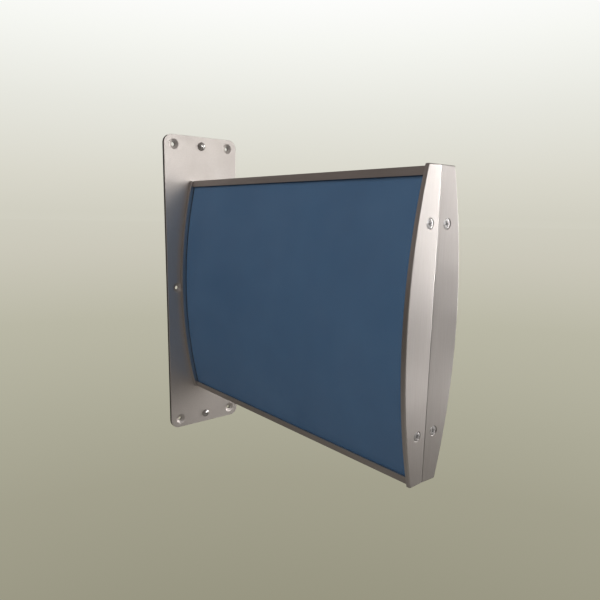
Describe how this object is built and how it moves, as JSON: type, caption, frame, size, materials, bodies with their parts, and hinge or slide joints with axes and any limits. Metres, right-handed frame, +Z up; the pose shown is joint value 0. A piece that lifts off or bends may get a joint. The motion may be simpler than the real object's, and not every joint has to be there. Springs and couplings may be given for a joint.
{
  "type": "projecting wall sign",
  "caption": "Double-sided projecting wall sign: two curved aluminium frames back to back, edge-on on an upright wall plate with rounded corners.",
  "frame": {"origin": "centre of the face that lies on the wall", "axes": "+Z up, +Y into the wall, the sign projects along -Y, X is the sign's thickness"},
  "size_m": [0.086, 0.3126, 0.314],
  "materials": {
    "plate": "satin silver",
    "pad": "matt",
    "bright_steel": "bright",
    "zinc": "zinc plated",
    "cap": "fine brushed, anodised",
    "extrusion": "satin anodised",
    "insert": "satin",
    "cover": "satin clear plastic"
  },
  "bodies": {
    "sign": {"wall_pad": "pad", "wall_plate": "plate", "plate_screw_top": "bright_steel", "plate_screw_bottom": "bright_steel", "wall_cap_left": "cap", "wall_cap_right": "cap", "body_screw_left_top": "zinc", "body_screw_left_bottom": "zinc", "body_screw_right_top": "zinc", "body_screw_right_bottom": "zinc", "frame_left": "extrusion", "frame_right": "extrusion", "joiner_top": "extrusion", "joiner_bottom": "extrusion", "insert_left": "insert", "insert_right": "insert", "cover_left": "cover", "cover_right": "cover"},
    "end_cap_left": {"end_cap_left": "cap", "end_screw_left_top": "zinc", "end_screw_left_bottom": "zinc"},
    "end_cap_right": {"end_cap_right": "cap", "end_screw_right_top": "zinc", "end_screw_right_bottom": "zinc"}
  },
  "joints": [
    {"name": "end_cap_left_off", "type": "slide", "parent": "sign", "child": "end_cap_left", "axis": [0, -1, 0], "range_m": [0, 0.04]},
    {"name": "end_cap_right_off", "type": "slide", "parent": "sign", "child": "end_cap_right", "axis": [0, -1, 0], "range_m": [0, 0.04]}
  ]
}
